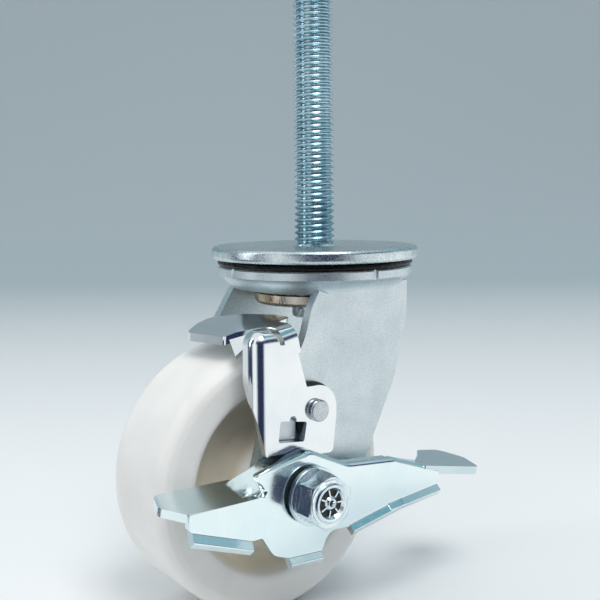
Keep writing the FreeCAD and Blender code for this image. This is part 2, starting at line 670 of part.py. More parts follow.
def brake_lever():
    """The whole lever: plate, cam rim, pedal, release tab and stiffening lips."""
    plate = plate_xz(lever_outline(), -LEVER_FRONT, -LEVER_BACK)
    parts = [
        lever_rim(), lever_pedal(), lever_web(), lever_release(),
        lever_lip((-36.6, -3.0), (-18.8, -8.9), PEDAL_LIP), lever_lip((-7.0, -16.0), (3.6, -16.4), LEVER_LIP),
        lever_lip((13.8, -11.4), (LIP_KNEE + 5.0, -7.5), LEVER_LIP),
        lever_lip((LIP_KNEE, -8.2), (RELEASE_START + 7.0, -6.0), LEVER_LIP),
    ]
    bore = ring(LEVER_JOURNAL_D / 2 + LEVER_BORE_GAP, 0, -LEVER_FRONT - OVER, -LEVER_BACK + OVER)
    return plate.fuse(parts).cut(bore).removeSplitter()


def upper_balls():
    return ball_ring(UPPER_BALL_D, UPPER_RACE_D, UPPER_BALL_Z, UPPER_BALL_COUNT)


def lower_balls():
    return ball_ring(LOWER_BALL_D, LOWER_RACE_D, LOWER_BALL_Z, LOWER_BALL_COUNT)


PIECES = [
    threaded_stem, top_plate, upper_balls, fork, lower_balls, lower_race_cup, wheel, axle_sleeve,
    far_washer, axle_bolt, lever_bush, flat_washer, axle_nut, brake_arm, arm_spacer, arm_rivet,
    brake_lever,
]


def main():
    os.makedirs("parts", exist_ok=True)
    for make in PIECES:
        name = make.__name__
        shape = make()
        shape.exportStep(os.path.join("parts", name + ".step"))
        print(name, "solids", len(shape.Solids), "valid", shape.isValid(), "volume", round(shape.Volume, 1))


main()
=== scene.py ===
import math

import bmesh
import bpy
from mathutils import Matrix, Quaternion, Vector


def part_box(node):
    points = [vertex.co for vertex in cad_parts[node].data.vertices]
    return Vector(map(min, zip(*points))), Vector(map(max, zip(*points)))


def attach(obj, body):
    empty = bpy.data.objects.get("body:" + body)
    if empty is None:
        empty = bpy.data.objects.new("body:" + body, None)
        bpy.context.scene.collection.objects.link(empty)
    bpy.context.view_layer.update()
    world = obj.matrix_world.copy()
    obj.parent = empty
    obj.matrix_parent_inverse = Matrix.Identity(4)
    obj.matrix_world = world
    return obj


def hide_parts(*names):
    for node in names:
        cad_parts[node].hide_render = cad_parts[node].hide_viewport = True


# The looks of a threaded stem swivel caster. Metres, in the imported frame: the origin is on the
# stem's axis at the plate's top face, +Z runs up the stem, and the brake is on the -Y side.

MM = 0.001
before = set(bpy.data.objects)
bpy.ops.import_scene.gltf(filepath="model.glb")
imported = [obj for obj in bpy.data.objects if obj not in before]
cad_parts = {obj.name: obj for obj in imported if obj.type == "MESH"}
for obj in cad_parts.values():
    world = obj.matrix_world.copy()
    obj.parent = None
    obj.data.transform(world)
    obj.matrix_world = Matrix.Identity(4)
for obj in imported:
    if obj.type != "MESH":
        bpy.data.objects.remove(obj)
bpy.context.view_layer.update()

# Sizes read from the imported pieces.
stem_low, stem_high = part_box("threaded_stem")
wheel_low, wheel_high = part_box("wheel")
plate_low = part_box("top_plate")[0]
cup_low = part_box("lower_race_cup")[0]
nut_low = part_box("axle_nut")[0]
bolt_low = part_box("axle_bolt")[0]
fork_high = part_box("fork")[1]

# Stud: a rolled half-inch coarse thread over a headed kingpin.
STEM_R = 6.35 * MM
THREAD_ROOT_R = 5.3 * MM
THREAD_PITCH = 25.4 * MM / 13
THREAD_SEGMENTS = 64
THREAD_ROWS = 8
THREAD_WELD = 0.003 * MM
UNDERCUT_R = 6.1 * MM
UNDERCUT_LENGTH = 0.4 * MM
STEM_TIP_R = 5.15 * MM
COLLAR_R = 7.0 * MM
COLLAR_HEIGHT = 0.4 * MM
COLLAR_CHAMFER = 0.3 * MM
COLLAR_CHAMFER_START = COLLAR_HEIGHT * 0.45
THREAD_START = COLLAR_HEIGHT * 0.5
SEAT_R = 6.7 * MM
KINGPIN_R = 6.0 * MM
KINGPIN_HEAD_R = 7.3 * MM
HEAD_CHAMFER = 0.9 * MM
HEAD_CORNER_IN = 0.25 * MM
HEAD_CORNER_UP = 0.35 * MM
LATHE_SEGMENTS = 96

# The thread's sheet runs past both ends of the shank, so that its helix is cut off level: how many turns
# it has to spare, how many of them lie before the start, and how many pitches of them keep their radius.
THREAD_SPARE_TURNS = 4.5
THREAD_EARLY_TURNS = 2.5
THREAD_KEPT_PITCHES = 1.2
# Where a flank leaves the root and meets the crest, as a share of the half turn between them.
FLANK_ROOT_SHARE = 0.2
FLANK_CREST_SHARE = 0.85

# How close points are welded together, and how close to a plane they count as lying on it.
WELD_DISTANCE = 0.002 * MM
ON_PLANE = 0.02 * MM
NEAR_LEVEL = 0.05 * MM

# Angles in degrees: what still counts as flat, which edges are rolled, and which look smooth.
FLAT_ANGLE = 0.6
ROLLED_ANGLE = 32.0
WHEEL_ROLLED_ANGLE = 20.0
SMOOTH_ANGLE = 40.0
LATHE_SMOOTH_ANGLE = 35.0
THREAD_SMOOTH_ANGLE = 24.0
GREASE_SMOOTH_ANGLE = 60.0

# Wheel and axle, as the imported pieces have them.
AXLE_X = (wheel_low.x + wheel_high.x) / 2
AXLE_Z = (wheel_low.z + wheel_high.z) / 2
FLOOR_Z = wheel_low.z
FLANK_Y = 16.0 * MM
# The moulded edge between flank and recess lies in a band inside RECESS_EDGE_R. Its ring on the flank
# moves outwards, and its ring one step further in moves deeper.
RECESS_EDGE_R = 32.0 * MM
RECESS_EDGE_BAND = 5.0 * MM
RECESS_EDGE_OUT = 1.2 * MM
RECESS_EDGE_STEP = 0.5 * MM
RECESS_EDGE_IN = 0.8 * MM
# Painted shade in the recess: a darker warm beige at full strength at this depth and inside the first radius
# below, fading to white on the flank and past the second.
RECESS_SHADE_DEPTH = 4.0 * MM
RECESS_SHADE_R = RECESS_EDGE_R - 5.0 * MM
RECESS_SHADE_FADE_R = RECESS_EDGE_R - 2.0 * MM

# Brake lever: its front face, and the top edge that is rolled over into the cam rim.
LEVER_FACE_Y = -31.4 * MM
LEVER_RIM_ROLL = 1.5 * MM
LEVER_RIM_START = AXLE_X - 16.4 * MM
LEVER_RIM_END = AXLE_X + 43.5 * MM
ROLL_SEGMENTS = 6
# How squarely the fold's front face looks forwards, and how far its other face looks upwards.
FACES_FRONT = -0.98
FACES_UP = 0.3

# The bend from the lever's top edge into the release tab: its plan in millimetres from the axle, how
# high it lies at RELEASE_BEND_X, and how it falls for each millimetre outwards and rises for each one
# towards the wheel.
RELEASE_BEND_PLAN = [
    (30.4, -31.38), (48.1, -31.38), (47.4, -24.0), (41.5, -25.2), (36.0, -27.2), (30.6, -27.6),
]
RELEASE_BEND_X = 32.0
RELEASE_BEND_HIGH = 3.9
RELEASE_BEND_FALL = 0.33
RELEASE_BEND_RISE = 0.05
RELEASE_BEND_THICKNESS = 2.0 * MM

# Bolt end, peened over the nut. BOLT_TIP is the length that its dished end replaces.
BOLT_TIP = 1.2 * MM
PEENED_R = 5.3 * MM
PEENED_HIGH = 0.2 * MM
DISH_SEAT_R = 3.95 * MM
# Painted shade in the dish: a near-black disc of the radius below, lying between the two depths further down.
DISH_SHADE_R = 3.5 * MM
BOLT_RIB_COUNT = 7
BOLT_RIB_RING_R = 2.8 * MM
BOLT_RIB_SIZE = (1.8 * MM, 0.4 * MM, 0.6 * MM)
BOLT_RIB_DEPTH = 0.7 * MM
# The dish from its rolled rim to its centre mark: radius and depth below the tip, in millimetres.
DISH_PROFILE = [
    (5.0, 0.05), (4.6, 0.0), (4.2, 0.1), (3.5, 0.98), (2.0, 1.0),
    (1.6, 0.35), (1.25, 0.1), (0.9, 0.2), (0.6, 0.9), (0.0, 1.0),
]
DISH_SEAT_DEPTH = 1.15 * MM
DISH_SHADE_DEPTHS = (1.05 * MM, 0.88 * MM)

# Grease squeezed out of the race gap; its black also paints the shade inside the gap.
GREASE_RING_R = 29.4 * MM
GREASE_BEAD_R = 1.4 * MM
GREASE_FLATNESS = 0.7
GREASE_LUMPS = 0.02
GREASE_LUMP_SCALE = 420.0
GREASE_RING_POINTS = 220
GREASE_BEAD_POINTS = 12

# Camera, worked out from the photograph's outlines. The focal length is in pixels of its 600.
CAMERA_AZIMUTH = -35.0
CAMERA_DISTANCE = 0.300
CAMERA_ASIDE = 0.00446
CAMERA_HEIGHT = 0.0173
CAMERA_ROLL = 0.52
FOCAL_PIXELS = 945.0
HORIZON_PIXEL = 190.5
IMAGE_PIXELS = 600.0
SENSOR_MM = 36.0

# Studio sweep, in metres from the stem's axis along the view: where its floor starts and ends, how it
# bends up, and how wide it is at its start and for each metre further back.
SWEEP_START = -0.07
SWEEP_BEND_START = 0.9
SWEEP_BEND_R = 0.6
SWEEP_BEND_STEPS = 12
SWEEP_TOP = 2.2
SWEEP_HALF_WIDTH = 0.125
SWEEP_WIDENING = 0.36
SWEEP_BELOW_WHEEL = 0.2 * MM
SWEEP_FRONT = "#f4f4f4"
SWEEP_BACK = "#bfccd0"

# The room: the colour of its walls, what the camera sees of them, and their brightness.
ROOM_WALL = "#e9edef"
ROOM_SEEN = "#ccd5d8"
ROOM_STRENGTH = 1.12
LIGHT_TARGET = Vector((0.0, 0.0, -0.03))


def linear(code):
    """An sRGB hex colour as linear red, green, blue and alpha."""
    channels = []
    for start in (1, 3, 5):
        value = int(code[start:start + 2], 16) / 255
        channels.append(value / 12.92 if value <= 0.04045 else ((value + 0.055) / 1.055) ** 2.4)
    return (*channels, 1.0)


def node(tree, kind, settings=None, **inputs):
    """Add a node with its settings; each input is a value or another node's output socket."""
    made = tree.nodes.new(kind)
    for name, value in (settings or {}).items():
        setattr(made, name, value)
    for key, value in inputs.items():
        numbered = key[0] == "i" and key[1:].isdigit()
        socket = made.inputs[int(key[1:])] if numbered else made.inputs[key.replace("_", " ")]
        if isinstance(value, bpy.types.NodeSocket):
            tree.links.new(value, socket)
        else:
            socket.default_value = value
    return made


def maths(tree, operation, *values):
    """The result of a Math node over one or two values or sockets."""
    inputs = {"i%d" % index: value for index, value in enumerate(values)}
    return node(tree, "ShaderNodeMath", {"operation": operation}, **inputs).outputs[0]


def ramp(tree, factor, stops):
    """A colour ramp over (position, hex colour) stops."""
    made = node(tree, "ShaderNodeValToRGB", i0=factor)
    points = made.color_ramp.elements
    points[0].position = stops[0][0]
    points[0].color = linear(stops[0][1])
    points[1].position = stops[-1][0]
    points[1].color = linear(stops[-1][1])
    for position, code in stops[1:-1]:
        points.new(position).color = linear(code)
    return made.outputs[0]


def start_material(name):
    """A new material with its shader and output, and the place of each point in metres."""
    material = bpy.data.materials.new(name)
    material.use_nodes = True
    tree = material.node_tree
    tree.nodes.clear()
    shader = node(tree, "ShaderNodeBsdfPrincipled")
    output = node(tree, "ShaderNodeOutputMaterial", Surface=shader.outputs[0])
    output.name = "Output"
    place = node(tree, "ShaderNodeTexCoord").outputs["Object"]
    return material, tree, shader, place


def noise(tree, place, size, detail=2.0, rough=0.5, distort=0.0):
    """Noise whose grain is about size metres."""
    return node(tree, "ShaderNodeTexNoise", None, Vector=place, Scale=1.0 / size, Detail=detail,
                Roughness=rough, Distortion=distort).outputs["Fac"]


def spread(tree, factor, low, high, from_low=0.3, from_high=0.7):
    """Stretch a factor between from_low and from_high to run from low to high."""
    made = node(tree, "ShaderNodeMapRange", None, Value=factor, i1=from_low, i2=from_high, i3=low, i4=high)
    return made.outputs[0]


def bumped(tree, shader, height, distance, strength=1.0):
    """Raise the surface by distance metres where height is one."""
    made = node(tree, "ShaderNodeBump", None, Strength=strength, Distance=distance, Height=height)
    tree.links.new(made.outputs[0], shader.inputs["Normal"])


def zinc_plate(name, base, shade, rough, grain, speckle, cloud, bump, stretch=None):
    """Zinc-plated steel: a metal with soft tonal clouds from the bath and a fine crystalline speckle.

    The clouds run from shade to base and are cloud metres across. The speckle's grains are grain metres
    across and bump metres high, and stretch squeezes or draws them out along each axis.
    """
    material, tree, shader, place = start_material(name)
    clouds = noise(tree, place, cloud, 3.0, 0.55)
    if stretch:
        place = node(tree, "ShaderNodeVectorMath", {"operation": "MULTIPLY"}, i0=place, i1=stretch).outputs[0]
    grains = noise(tree, place, grain, 2.0, 0.6)
    tone = ramp(tree, spread(tree, clouds, 0.0, 1.0), [(0.0, shade), (1.0, base)])
    sparkle = [(0.0, "#c9ced0"), (0.55, "#f2f4f4"), (1.0, "#ffffff")]
    lit = ramp(tree, spread(tree, grains, 0.0, 1.0, 0.35, 0.65), sparkle)
    blend = {"data_type": "RGBA", "blend_type": "MULTIPLY"}
    mixed = node(tree, "ShaderNodeMix", blend, i0=speckle, i6=tone, i7=lit)
    tree.links.new(mixed.outputs[2], shader.inputs["Base Color"])
    shader.inputs["Metallic"].default_value = 1.0
    uneven = spread(tree, grains, rough * 0.82, rough * 1.2, 0.35, 0.65)
    tree.links.new(uneven, shader.inputs["Roughness"])
    bumped(tree, shader, grains, bump, 0.6)
    return material


# Blue-passivated zinc on the rolled thread: a cold light blue with bright crests.
stem_zinc = zinc_plate("blue_zinc_rolled_thread", "#bed6de", "#93b5c1", rough=0.24,
                       grain=0.5 * MM, speckle=0.5, cloud=9 * MM, bump=0.01 * MM)
# Barrel-plated zinc over a turned and pressed plate: satin, slightly mottled.
plate_zinc = zinc_plate("satin_zinc_pressed_plate", "#dfe8ea", "#bccbd0", rough=0.30,
                        grain=0.45 * MM, speckle=0.9, cloud=7 * MM, bump=0.03 * MM)
# The same bath over a tumbled fork: pearl grey with a sandy speckle about 0.35 mm across.
fork_zinc = zinc_plate("pearl_zinc_tumbled_fork", "#dbe5e8", "#c6d2d7", rough=0.40,
                       grain=0.35 * MM, speckle=0.75, cloud=12 * MM, bump=0.02 * MM)
# Straw-tinted zinc on the race cup, with the upright marks of its pressing.
cup_zinc = zinc_plate("straw_zinc_race_cup", "#c9c6c0", "#b39c74", rough=0.30,
                      grain=0.45 * MM, speckle=1.0, cloud=14 * MM, bump=0.05 * MM, stretch=(1.0, 1.0, 0.22))
# Bright blue zinc on smooth sheet: nearly a mirror on the folded arm and the pressed lever.
arm_zinc = zinc_plate("bright_zinc_folded_arm", "#e6ebed", "#dbe3e6", rough=0.15,
                      grain=0.5 * MM, speckle=0.08, cloud=14 * MM, bump=0.0012 * MM)
lever_zinc = zinc_plate("bright_zinc_pressed_lever", "#e2eff1", "#d6e8eb", rough=0.17,
                        grain=0.5 * MM, speckle=0.10, cloud=20 * MM, bump=0.0014 * MM)
# Bright zinc on the turned fasteners, and the barer steel of the rivet and the sleeve.
fastener_zinc = zinc_plate("bright_zinc_fasteners", "#e4eef1", "#c9dbe2", rough=0.2,
                           grain=0.5 * MM, speckle=0.4, cloud=5 * MM, bump=0.004 * MM)
rivet_steel = zinc_plate("upset_rivet_steel", "#cfd6d9", "#b0b9be", rough=0.3,
                         grain=0.5 * MM, speckle=0.6, cloud=3 * MM, bump=0.02 * MM)
turned_steel = zinc_plate("oiled_turned_steel", "#9b9ea1", "#7c8084", rough=0.3,
                          grain=0.5 * MM, speckle=0.6, cloud=6 * MM, bump=0.01 * MM)


def nylon(name):
    """Natural moulded nylon: off-white and waxy, with faint flow tones and a painted warm shade in the
    recesses.
    """
    material, tree, shader, place = start_material(name)
    flow = noise(tree, place, 16 * MM, 2.0, 0.5, 0.4)
    fine = noise(tree, place, 0.7 * MM, 3.0, 0.6)
    tone = ramp(tree, spread(tree, flow, 0.0, 1.0), [(0.0, "#edece7"), (1.0, "#f6f5f1")])
    apart = node(tree, "ShaderNodeSeparateXYZ", None, Vector=place)
    across = maths(tree, "SUBTRACT", apart.outputs[0], AXLE_X)
    upward = maths(tree, "SUBTRACT", apart.outputs[2], AXLE_Z)
    across_squared = maths(tree, "MULTIPLY", across, across)
    upward_squared = maths(tree, "MULTIPLY", upward, upward)
    outward = maths(tree, "SQRT", maths(tree, "ADD", across_squared, upward_squared))
    side = maths(tree, "ABSOLUTE", apart.outputs[1])
    sunk = spread(tree, side, 1.0, 0.0, FLANK_Y - RECESS_SHADE_DEPTH, FLANK_Y)
    within = spread(tree, outward, 1.0, 0.0, RECESS_SHADE_R, RECESS_SHADE_FADE_R)
    recess = maths(tree, "MULTIPLY", sunk, within)
    # Painted shade: a darker warm beige mixed in where the recess lies.
    recess_shade = node(tree, "ShaderNodeMix", {"data_type": "RGBA"}, i0=recess, i6=tone, i7=linear("#e4dbc8"))
    tree.links.new(recess_shade.outputs[2], shader.inputs["Base Color"])
    rough = spread(tree, fine, 0.42, 0.56)
    tree.links.new(rough, shader.inputs["Roughness"])
    shader.inputs["IOR"].default_value = 1.53
    shader.inputs["Subsurface Weight"].default_value = 0.12
    shader.inputs["Subsurface Radius"].default_value = (1.0, 0.95, 0.88)
    shader.inputs["Subsurface Scale"].default_value = 1.5 * MM
    bumped(tree, shader, fine, 0.015 * MM, 0.5)
    return material


wheel_nylon = nylon("natural_nylon_moulded_wheel")


def grease(name):
    """Black bearing grease, wet and uneven; its near-black colour and faint reflection also paint the shade
    inside the race gap.
    """
    material, tree, shader, place = start_material(name)
    lumps = noise(tree, place, 1.2 * MM, 3.0, 0.6)
    # Painted shade: near-black tones that darken the race gap along with the grease.
    tone = ramp(tree, lumps, [(0.3, "#010101"), (0.8, "#0a0909")])
    tree.links.new(tone, shader.inputs["Base Color"])
    rough = spread(tree, lumps, 0.16, 0.4)
    tree.links.new(rough, shader.inputs["Roughness"])
    shader.inputs["Specular IOR Level"].default_value = 0.16
    bumped(tree, shader, lumps, 0.2 * MM, 0.8)
    return material


grease_and_gap_shade = grease("black_grease_and_painted_gap_shade")


def dark_steel(name):
    """Near-black steel of the spacer, and painted shade on the bush in the gap behind the washer and on the
    bolt's dish.
    """
    material, tree, shader, place = start_material(name)
    grain = noise(tree, place, 0.6 * MM, 2.0, 0.5)
    tone = ramp(tree, grain, [(0.3, "#1f2123"), (0.7, "#3a3e41")])
    tree.links.new(tone, shader.inputs["Base Color"])
    shader.inputs["Metallic"].default_value = 0.6
    rough = spread(tree, grain, 0.35, 0.5)
    tree.links.new(rough, shader.inputs["Roughness"])
    return material


# Near-black steel: the spacer's dark colour, and painted shade on the bush and in the bolt's dish.
dark_steel_and_shade = dark_steel("near_black_steel_painted_shade")


def chrome_ball(name):
    """Polished bearing steel with a thin film of grease."""
    material, tree, shader, place = start_material(name)
    film = noise(tree, place, 1.5 * MM, 2.0, 0.5)
    tone = ramp(tree, film, [(0.35, "#4a4b4d"), (0.65, "#c6c9cc")])
    tree.links.new(tone, shader.inputs["Base Color"])
    shader.inputs["Metallic"].default_value = 1.0
    rough = spread(tree, film, 0.05, 0.25)
    tree.links.new(rough, shader.inputs["Roughness"])
    return material


ball_steel = chrome_ball("greased_bearing_balls")


def link_mesh(name, mesh):
    """A piece in the scene that holds the mesh."""
    piece = bpy.data.objects.new(name, mesh)
    bpy.context.scene.collection.objects.link(piece)
    return piece


def smooth_by_angle(mesh, degrees=SMOOTH_ANGLE):
    """Smooth shading with edges sharper than the angle kept crisp."""
    shape = bmesh.new()
    shape.from_mesh(mesh)
    limit = math.radians(degrees)
    for face in shape.faces:
        face.smooth = True
    for edge in shape.edges:
        if len(edge.link_faces) == 2:
            edge.smooth = edge.calc_face_angle(0.0) < limit
    shape.to_mesh(mesh)
    shape.free()


def keep_modified(piece):
    """Take the form that the piece's modifiers give it as its plain mesh, and drop the modifiers."""
    seen = bpy.context.evaluated_depsgraph_get()
    mesh = bpy.data.meshes.new_from_object(piece.evaluated_get(seen))
    piece.modifiers.clear()
    piece.data = mesh


def keep_flats_flat(piece):
    """Weigh the smooth normals by face area, so that a rolled edge doesn't shade the flat beside it."""
    weigh = piece.modifiers.new("flat_faces", "WEIGHTED_NORMAL")
    weigh.keep_sharp = True
    keep_modified(piece)


def give_material(piece, material):
    """Let the piece have this material alone."""
    piece.data.materials.clear()
    piece.data.materials.append(material)


def softened(cad_node, name, material, body, width, segments=2, angle=ROLLED_ANGLE, reshape=None):
    """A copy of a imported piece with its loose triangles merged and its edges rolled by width.

    Edges that turn by more than angle degrees are rolled. A given reshape changes the mesh before that.
    """
    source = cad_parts[cad_node]
    mesh = source.data.copy()
    shape = bmesh.new()
    shape.from_mesh(mesh)
    bmesh.ops.remove_doubles(shape, verts=shape.verts[:], dist=WELD_DISTANCE)
    bmesh.ops.dissolve_limit(shape, angle_limit=math.radians(FLAT_ANGLE), verts=shape.verts[:],
                             edges=shape.edges[:])
    if reshape:
        reshape(shape)
    shape.to_mesh(mesh)
    shape.free()
    piece = link_mesh(name, mesh)
    if width:
        bevel = piece.modifiers.new("rolled_edges", "BEVEL")
        bevel.width = width
        bevel.segments = segments
        bevel.limit_method = "ANGLE"
        bevel.angle_limit = math.radians(angle)
        bevel.use_clamp_overlap = True
        keep_modified(piece)
    give_material(piece, material)
    smooth_by_angle(piece.data)
    if width:
        keep_flats_flat(piece)
    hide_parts(cad_node)
    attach(piece, body)
    return piece


def roll_lever_rim(shape):
    """Roll the fold along the lever's top edge, which turns from the front face into the cam rim."""
    fold = []
    for edge in shape.edges:
        ends = [vert.co for vert in edge.verts]
        if len(edge.link_faces) != 2 or any(abs(end.y - LEVER_FACE_Y) > ON_PLANE for end in ends):
            continue
        if any(not LEVER_RIM_START < end.x < LEVER_RIM_END for end in ends):
            continue
        front, top = sorted((face.normal for face in edge.link_faces), key=lambda normal: normal.y)
        if front.y < FACES_FRONT and top.z > FACES_UP:
            fold.append(edge)
    bmesh.ops.bevel(shape, geom=fold, offset=LEVER_RIM_ROLL, offset_type="OFFSET", segments=ROLL_SEGMENTS,
                    profile=0.5, affect="EDGES", clamp_overlap=False)


def ease_recess_edge(shape):
    """Widen the moulded edge between the wheel's flank and its recess before it is rolled."""
    for vert in shape.verts:
        outward = math.hypot(vert.co.x - AXLE_X, vert.co.z - AXLE_Z)
        side = abs(vert.co.y)
        if outward > RECESS_EDGE_R or outward < RECESS_EDGE_R - RECESS_EDGE_BAND:
            continue
        if abs(side - FLANK_Y) < NEAR_LEVEL:
            stretch = (outward + RECESS_EDGE_OUT) / outward
            vert.co.x = AXLE_X + (vert.co.x - AXLE_X) * stretch
            vert.co.z = AXLE_Z + (vert.co.z - AXLE_Z) * stretch
        elif abs(side - FLANK_Y + RECESS_EDGE_STEP) < NEAR_LEVEL:
            vert.co.y = math.copysign(side - RECESS_EDGE_IN, vert.co.y)


def trim_bolt_end(shape):
    """Cut the plain end off the bolt, where its dished end comes."""
    level = Vector((0.0, bolt_low.y + BOLT_TIP, 0.0))
    everything = shape.verts[:] + shape.edges[:] + shape.faces[:]
    cut = bmesh.ops.bisect_plane(shape, geom=everything, plane_co=level, plane_no=(0.0, 1.0, 0.0),
                                 clear_inner=True)
    rim = [item for item in cut["geom_cut"] if isinstance(item, bmesh.types.BMEdge)]
    bmesh.ops.contextual_create(shape, geom=rim)


def lathe(name, profile, segments, material, place=None):
    """A closed turned shape about the Z axis from (radius, z) points that start and end on the axis."""
    shape = bmesh.new()
    rings = []
    for radius, height in profile:
        if not radius:
            rings.append([shape.verts.new((0.0, 0.0, height))])
            continue
        turn = []
        for step in range(segments):
            angle = 2 * math.pi * step / segments
            spot = (radius * math.cos(angle), radius * math.sin(angle), height)
            turn.append(shape.verts.new(spot))
        rings.append(turn)
    for lower, upper in zip(rings, rings[1:]):
        for step in range(segments):
            after = (step + 1) % segments
            below = [lower[step % len(lower)], lower[after % len(lower)]]
            above = [upper[after % len(upper)], upper[step % len(upper)]]
            kept = []
            for corner in below + above:
                if corner not in kept:
                    kept.append(corner)
            shape.faces.new(kept)
    bmesh.ops.recalc_face_normals(shape, faces=shape.faces[:])
    mesh = bpy.data.meshes.new(name)
    shape.to_mesh(mesh)
    shape.free()
    if place:
        mesh.transform(place)
    piece = link_mesh(name, mesh)
    give_material(piece, material)
    smooth_by_angle(mesh, LATHE_SMOOTH_ANGLE)
    return piece


# What kind of value a tree's input takes.
FLOAT = "NodeSocketFloat"
WHOLE = "NodeSocketInt"
TRIPLE = "NodeSocketVector"


def new_tree(name, inputs):
    """An empty Geometry Nodes tree with named inputs given as (name, socket type, value)."""
    tree = bpy.data.node_groups.new(name, "GeometryNodeTree")
    for label, kind, value in inputs:
        socket = tree.interface.new_socket(label, in_out="INPUT", socket_type=kind)
        socket.default_value = value
    tree.interface.new_socket("Geometry", in_out="OUTPUT", socket_type="NodeSocketGeometry")
    return tree, node(tree, "NodeGroupInput"), node(tree, "NodeGroupOutput")


def end_tree(tree, output, geometry):
    """Hand the tree's geometry on as one real mesh."""
    real = node(tree, "GeometryNodeRealizeInstances", None, Geometry=geometry)
    tree.links.new(real.outputs[0], output.inputs[0])


def run_tree(name, tree, values, material, smooth=SMOOTH_ANGLE):
    """A piece of the given material that keeps, as a plain mesh, what a tree makes of the input values."""
    piece = link_mesh(name, bpy.data.meshes.new(name + "_seed"))
    modifier = piece.modifiers.new("tree", "NODES")
    modifier.node_group = tree
    for item in tree.interface.items_tree:
        if item.in_out == "INPUT" and item.name in values:
            modifier[item.identifier] = values[item.name]
    keep_modified(piece)
    mesh = piece.data
    mesh.name = name
    give_material(piece, material)
    mesh.polygons.foreach_set("material_index", [0] * len(mesh.polygons))
    smooth_by_angle(mesh, smooth)
    return piece


def thread_tree():
    """A rolled thread: a sheet whose rows follow the helix, so that crests and roots stay crisp."""
    tree, given, output = new_tree("rolled_thread", [
        ("Crest Radius", FLOAT, 1.0), ("Root Radius", FLOAT, 0.8), ("Pitch", FLOAT, 1.0),
        ("Start", FLOAT, 0.0), ("End", FLOAT, 1.0), ("Undercut Radius", FLOAT, 0.8),
        ("Undercut End", FLOAT, 0.1), ("Tip Radius", FLOAT, 0.8), ("Segments", WHOLE, 16), ("Rows", WHOLE, 8),
    ])
    crest, root, pitch, start, end, undercut, undercut_end, tip, segments, rows = given.outputs[:10]
    # A flat sheet whose lines run once round the shank and whose columns run along all turns.
    length = maths(tree, "SUBTRACT", end, start)
    turns = maths(tree, "CEIL", maths(tree, "ADD", maths(tree, "DIVIDE", length, pitch), THREAD_SPARE_TURNS))
    columns = maths(tree, "ADD", segments, 1.0)
    lines = maths(tree, "ADD", maths(tree, "MULTIPLY", turns, rows), 1.0)
    sheet = node(tree, "GeometryNodeMeshGrid", None, Size_X=1.0, Size_Y=1.0,
                 Vertices_X=columns, Vertices_Y=lines)
    here = node(tree, "GeometryNodeInputPosition").outputs[0]
    place = node(tree, "ShaderNodeSeparateXYZ", None, Vector=here)
    around = maths(tree, "ADD", place.outputs[0], 0.5)
    along = maths(tree, "MULTIPLY", maths(tree, "ADD", place.outputs[1], 0.5), turns)
    # Height on the helix, held between the shank's ends.
    climbed = maths(tree, "ADD", maths(tree, "SUBTRACT", along, THREAD_EARLY_TURNS), around)
    raw = maths(tree, "ADD", start, maths(tree, "MULTIPLY", climbed, pitch))
    height = maths(tree, "MINIMUM", maths(tree, "MAXIMUM", raw, start), end)
    # Radius between root and crest, less at the undercut and at the tip's chamfer.
    half = maths(tree, "ABSOLUTE", maths(tree, "SUBTRACT", maths(tree, "FRACT", along), 0.5))
    wave = maths(tree, "MULTIPLY", half, 2.0)
    flank = node(tree, "ShaderNodeMapRange", {"clamp": True}, Value=wave, i1=FLANK_ROOT_SHARE,
                 i2=FLANK_CREST_SHARE, i3=root, i4=crest).outputs[0]
    above_undercut = maths(tree, "MAXIMUM", maths(tree, "SUBTRACT", height, undercut_end), 0.0)
    shoulder = maths(tree, "ADD", undercut, above_undercut)
    chamfer = maths(tree, "ADD", tip, maths(tree, "SUBTRACT", end, height))
    radius = maths(tree, "MINIMUM", maths(tree, "MINIMUM", flank, shoulder), chamfer)
    # The spare turns beyond the ends close them with flat discs.
    margin = maths(tree, "MULTIPLY", pitch, THREAD_KEPT_PITCHES)
    past_start = maths(tree, "GREATER_THAN", raw, maths(tree, "SUBTRACT", start, margin))
    before_end = maths(tree, "LESS_THAN", raw, maths(tree, "ADD", end, margin))
    kept = maths(tree, "MULTIPLY", radius, maths(tree, "MULTIPLY", past_start, before_end))
    angle = maths(tree, "MULTIPLY", around, 2 * math.pi)
    aside = maths(tree, "MULTIPLY", kept, maths(tree, "COSINE", angle))
    away = maths(tree, "MULTIPLY", kept, maths(tree, "SINE", angle))
    target = node(tree, "ShaderNodeCombineXYZ", None, X=aside, Y=away, Z=height)
    moved = node(tree, "GeometryNodeSetPosition", None, Geometry=sheet.outputs[0], Position=target.outputs[0])
    merged = node(tree, "GeometryNodeMergeByDistance", None, Geometry=moved.outputs[0], Distance=THREAD_WELD)
    end_tree(tree, output, merged.outputs[0])
    return tree


